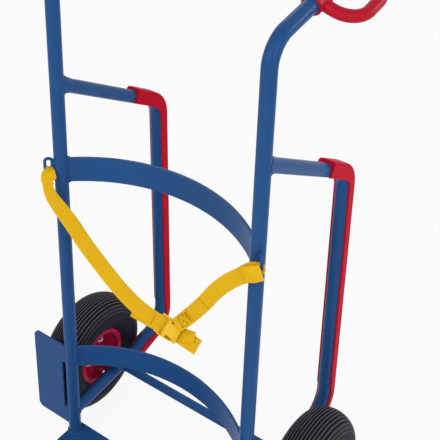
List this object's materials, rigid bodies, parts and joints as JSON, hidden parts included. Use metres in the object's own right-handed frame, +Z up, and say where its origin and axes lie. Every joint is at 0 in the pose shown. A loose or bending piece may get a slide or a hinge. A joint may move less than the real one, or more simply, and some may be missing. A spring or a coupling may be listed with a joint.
{
  "type": "drum trolley",
  "caption": "Two-wheeled tubular drum trolley with bowed crossbars, foot plate, skid tubes with slide strips, pneumatic wheels, guarded grips and a webbing lashing strap.",
  "frame": {"origin": "on the floor, midway between the uprights, in the plane of their axes", "axes": "+X from the left upright to the right one, +Y back away from the drum, +Z up"},
  "size_m": [0.6356, 0.608, 1.1071],
  "materials": {
    "frame_blue": "glossy powder coat",
    "slide_red": "satin extruded plastic",
    "grip_red": "satin moulded plastic",
    "rim_red": "semi-gloss paint",
    "tyre_black": "matte rubber",
    "tube_rubber": "matte",
    "zinc_steel": "zinc plated",
    "bearing_nylon": "plain nylon",
    "valve_brass": "satin",
    "web_yellow": "woven polyester",
    "buckle_steel": "dull zinc",
    "lever_yellow": "coated steel"
  },
  "bodies": {
    "frame": {"left_upright": "frame_blue", "left_wheel_guard": "frame_blue", "left_skid_tube": "frame_blue", "left_slide_strip": "slide_red", "left_strip_rivets": "zinc_steel", "left_strap_ring": "frame_blue", "left_grip": "grip_red", "left_axle": "frame_blue", "left_axle_collar": "zinc_steel", "left_axle_washer": "zinc_steel", "left_cotter_pin": "zinc_steel", "right_upright": "frame_blue", "right_wheel_guard": "frame_blue", "right_skid_tube": "frame_blue", "right_slide_strip": "slide_red", "right_strip_rivets": "zinc_steel", "right_strap_ring": "frame_blue", "right_grip": "grip_red", "right_axle": "frame_blue", "right_axle_collar": "zinc_steel", "right_axle_washer": "zinc_steel", "right_cotter_pin": "zinc_steel", "upper_crossbar": "frame_blue", "lower_crossbar": "frame_blue", "foot_plate": "frame_blue", "cross_tube": "frame_blue", "strap_left": "web_yellow", "strap_right": "web_yellow", "buckle_pad": "web_yellow", "buckle_frame": "lever_yellow", "buckle_pin": "buckle_steel"},
    "left_wheel": {"left_tyre": "tyre_black", "left_air_tube": "tube_rubber", "left_rim_inner": "rim_red", "left_rim_outer": "rim_red", "left_hub": "rim_red", "left_bearing_inner": "bearing_nylon", "left_bearing_outer": "bearing_nylon", "left_rim_bolts": "zinc_steel", "left_valve": "valve_brass"},
    "right_wheel": {"right_tyre": "tyre_black", "right_air_tube": "tube_rubber", "right_rim_inner": "rim_red", "right_rim_outer": "rim_red", "right_hub": "rim_red", "right_bearing_inner": "bearing_nylon", "right_bearing_outer": "bearing_nylon", "right_rim_bolts": "zinc_steel", "right_valve": "valve_brass"},
    "buckle_lever": {"buckle_lever": "lever_yellow"}
  },
  "joints": [
    {"name": "left_wheel_spin", "type": "hinge", "parent": "frame", "child": "left_wheel", "pos_m": [-0.2665, 0.126, 0.129], "axis": [1, 0, 0], "continuous": true},
    {"name": "right_wheel_spin", "type": "hinge", "parent": "frame", "child": "right_wheel", "pos_m": [0.2665, 0.126, 0.129], "axis": [1, 0, 0], "continuous": true},
    {"name": "buckle_lever_hinge", "type": "hinge", "parent": "frame", "child": "buckle_lever", "pos_m": [0.0586, -0.03626, 0.48487], "axis": [-0.0984, -0.7071, -0.7002], "range_deg": [0, 70]}
  ]
}
